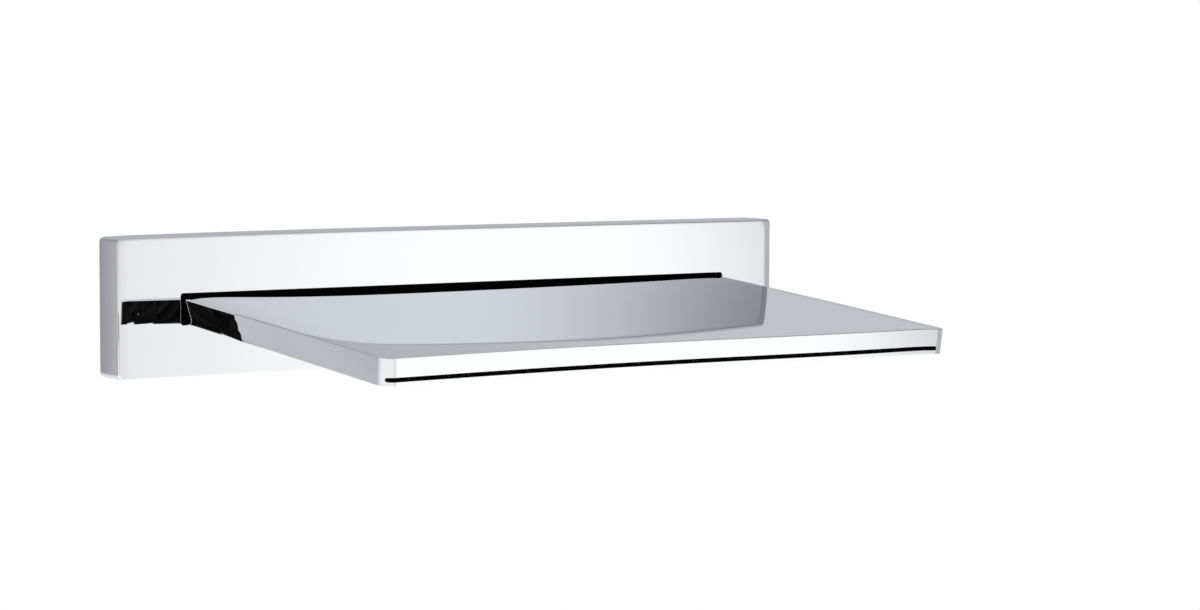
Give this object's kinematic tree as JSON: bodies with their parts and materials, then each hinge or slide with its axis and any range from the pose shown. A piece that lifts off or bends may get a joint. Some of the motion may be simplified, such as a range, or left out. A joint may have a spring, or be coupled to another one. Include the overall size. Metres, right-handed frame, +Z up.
{
  "type": "waterfall bath filler",
  "caption": "Wall-mounted waterfall bath filler: a slim rectangular cover plate with a thin sloping blade that pours water from a slot across its front.",
  "frame": {"origin": "middle of the cover plate's rear face, on the finished wall", "axes": "+X to the right along the plate, +Y into the wall, +Z up; the blade reaches out along -Y"},
  "size_m": [0.3, 0.1971, 0.053],
  "materials": {
    "chrome": "polished chrome plate over brass",
    "brass": "machined, unplated",
    "steel": "plain stainless steel",
    "bracket_steel": "folded and zinc-plated sheet",
    "rubber": "black, matt",
    "foam": "closed-cell foam strip",
    "plastic": "moulded, off-white",
    "plug": "moulded nylon, grey",
    "fibre": "red vulcanised fibre"
  },
  "bodies": {
    "root": {"cover_plate": "chrome", "cover_seal": "foam", "grub_screws": "steel", "blade_shell": "chrome", "blade_floor": "chrome", "blade_flange": "brass", "flange_screws": "steel", "aperture_collar": "rubber", "diffuser_strip": "steel", "flow_comb": "plastic", "manifold_gasket": "rubber", "manifold_body": "brass", "manifold_screws": "steel", "locating_pins": "steel", "wall_bracket": "bracket_steel", "bracket_screws": "steel", "bracket_washers": "steel", "wall_plugs": "plug", "inlet_tail": "brass", "spigot_o_rings": "rubber", "tail_washer": "fibre", "filter_rim": "plastic", "filter_mesh": "steel"}
  },
  "joints": []
}
